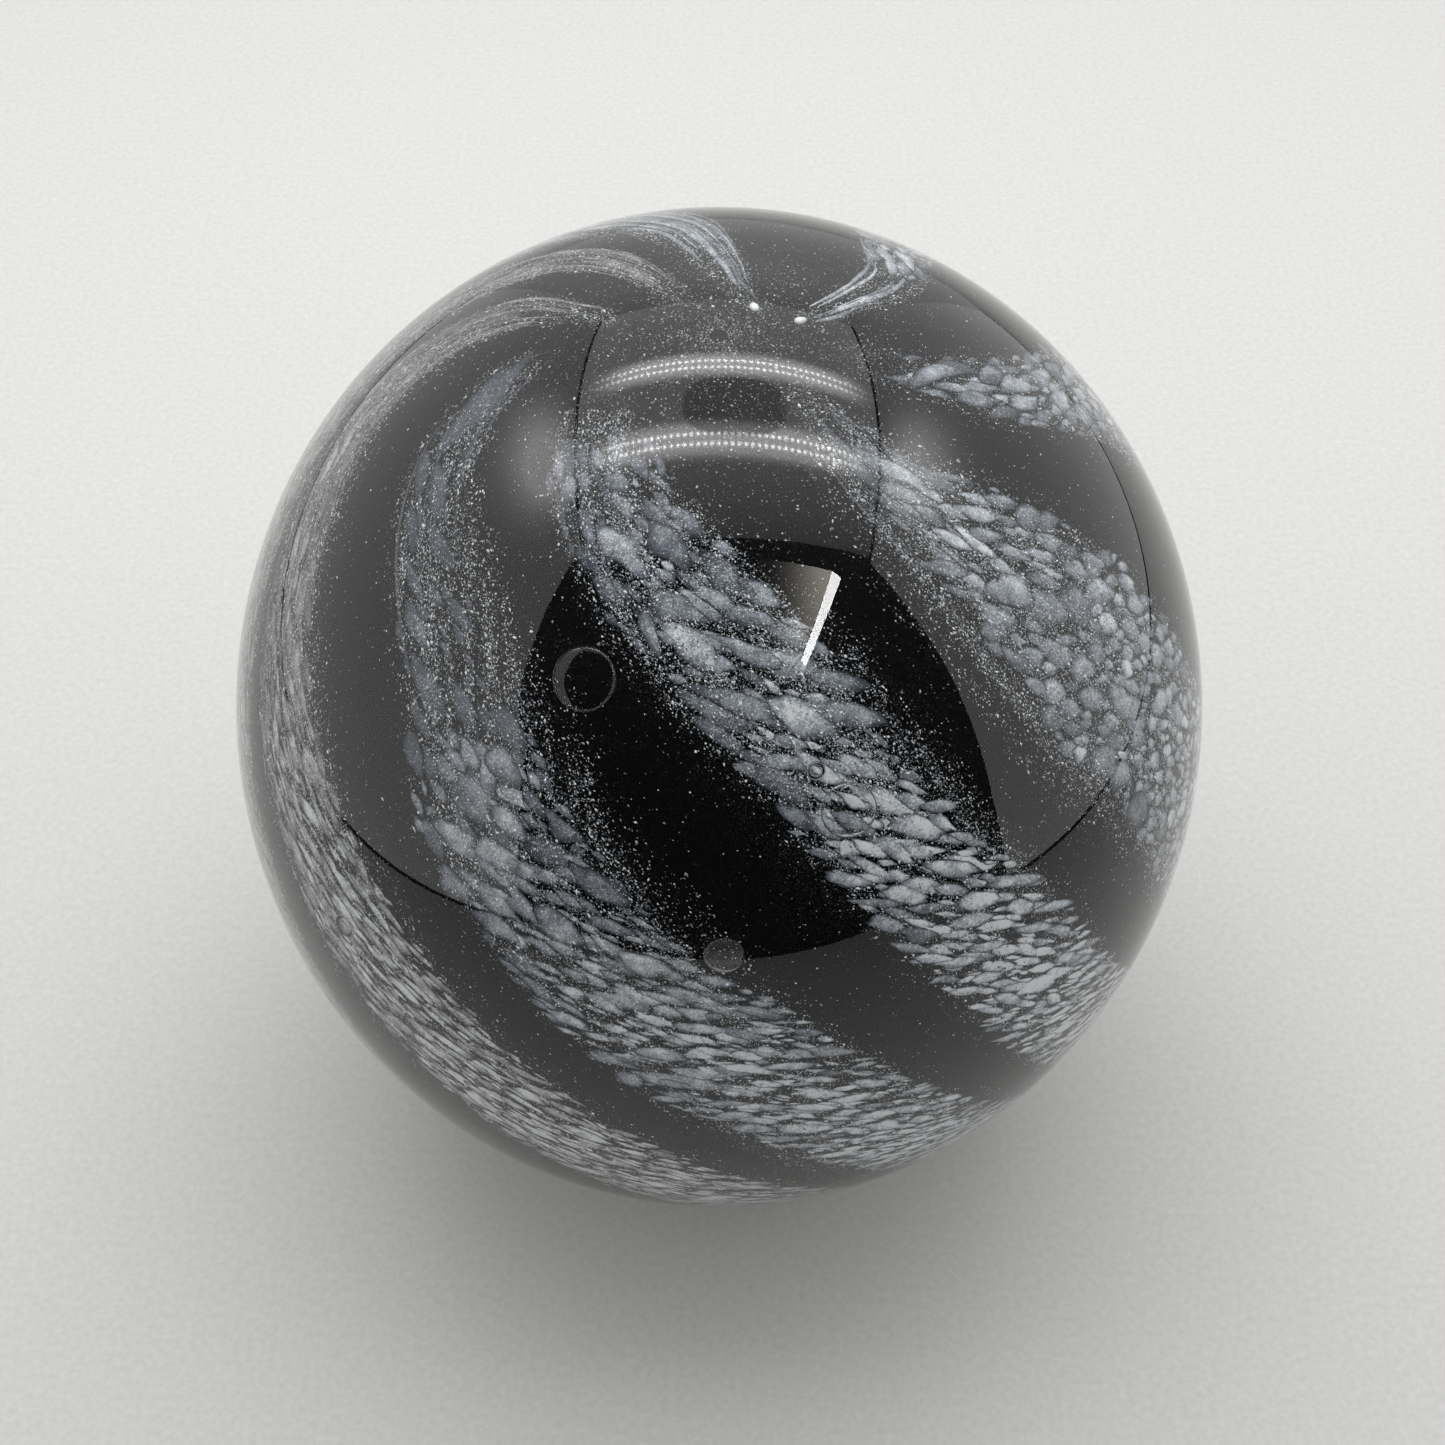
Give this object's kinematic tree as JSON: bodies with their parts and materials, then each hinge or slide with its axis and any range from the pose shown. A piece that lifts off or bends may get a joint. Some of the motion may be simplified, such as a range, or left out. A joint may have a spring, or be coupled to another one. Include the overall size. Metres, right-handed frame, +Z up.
{
  "type": "art glass ball paperweight",
  "caption": "Heavy decorative ball of solid glass: a black core, white frit in spiral bands drawn to the crown, a thick clear casing with trapped bubbles, and a small ground base.",
  "frame": {"origin": "middle of the ground base, in the plane that the ball rests on", "axes": "+Z up through the crown where the frit bands meet; -Y is the side that is seen first"},
  "size_m": [0.09, 0.09, 0.0942],
  "materials": {
    "black_glass": "polished",
    "white_frit": "satin",
    "clear_glass": "polished"
  },
  "bodies": {
    "root": {"black_core": "black_glass", "frit_band_1": "white_frit", "frit_band_2": "white_frit", "frit_band_3": "white_frit", "frit_band_4": "white_frit", "frit_band_5": "white_frit", "frit_band_6": "white_frit", "frit_band_7": "white_frit", "frit_band_8": "white_frit", "frit_tip_1": "white_frit", "frit_tip_2": "white_frit", "clear_casing": "clear_glass"}
  },
  "joints": []
}
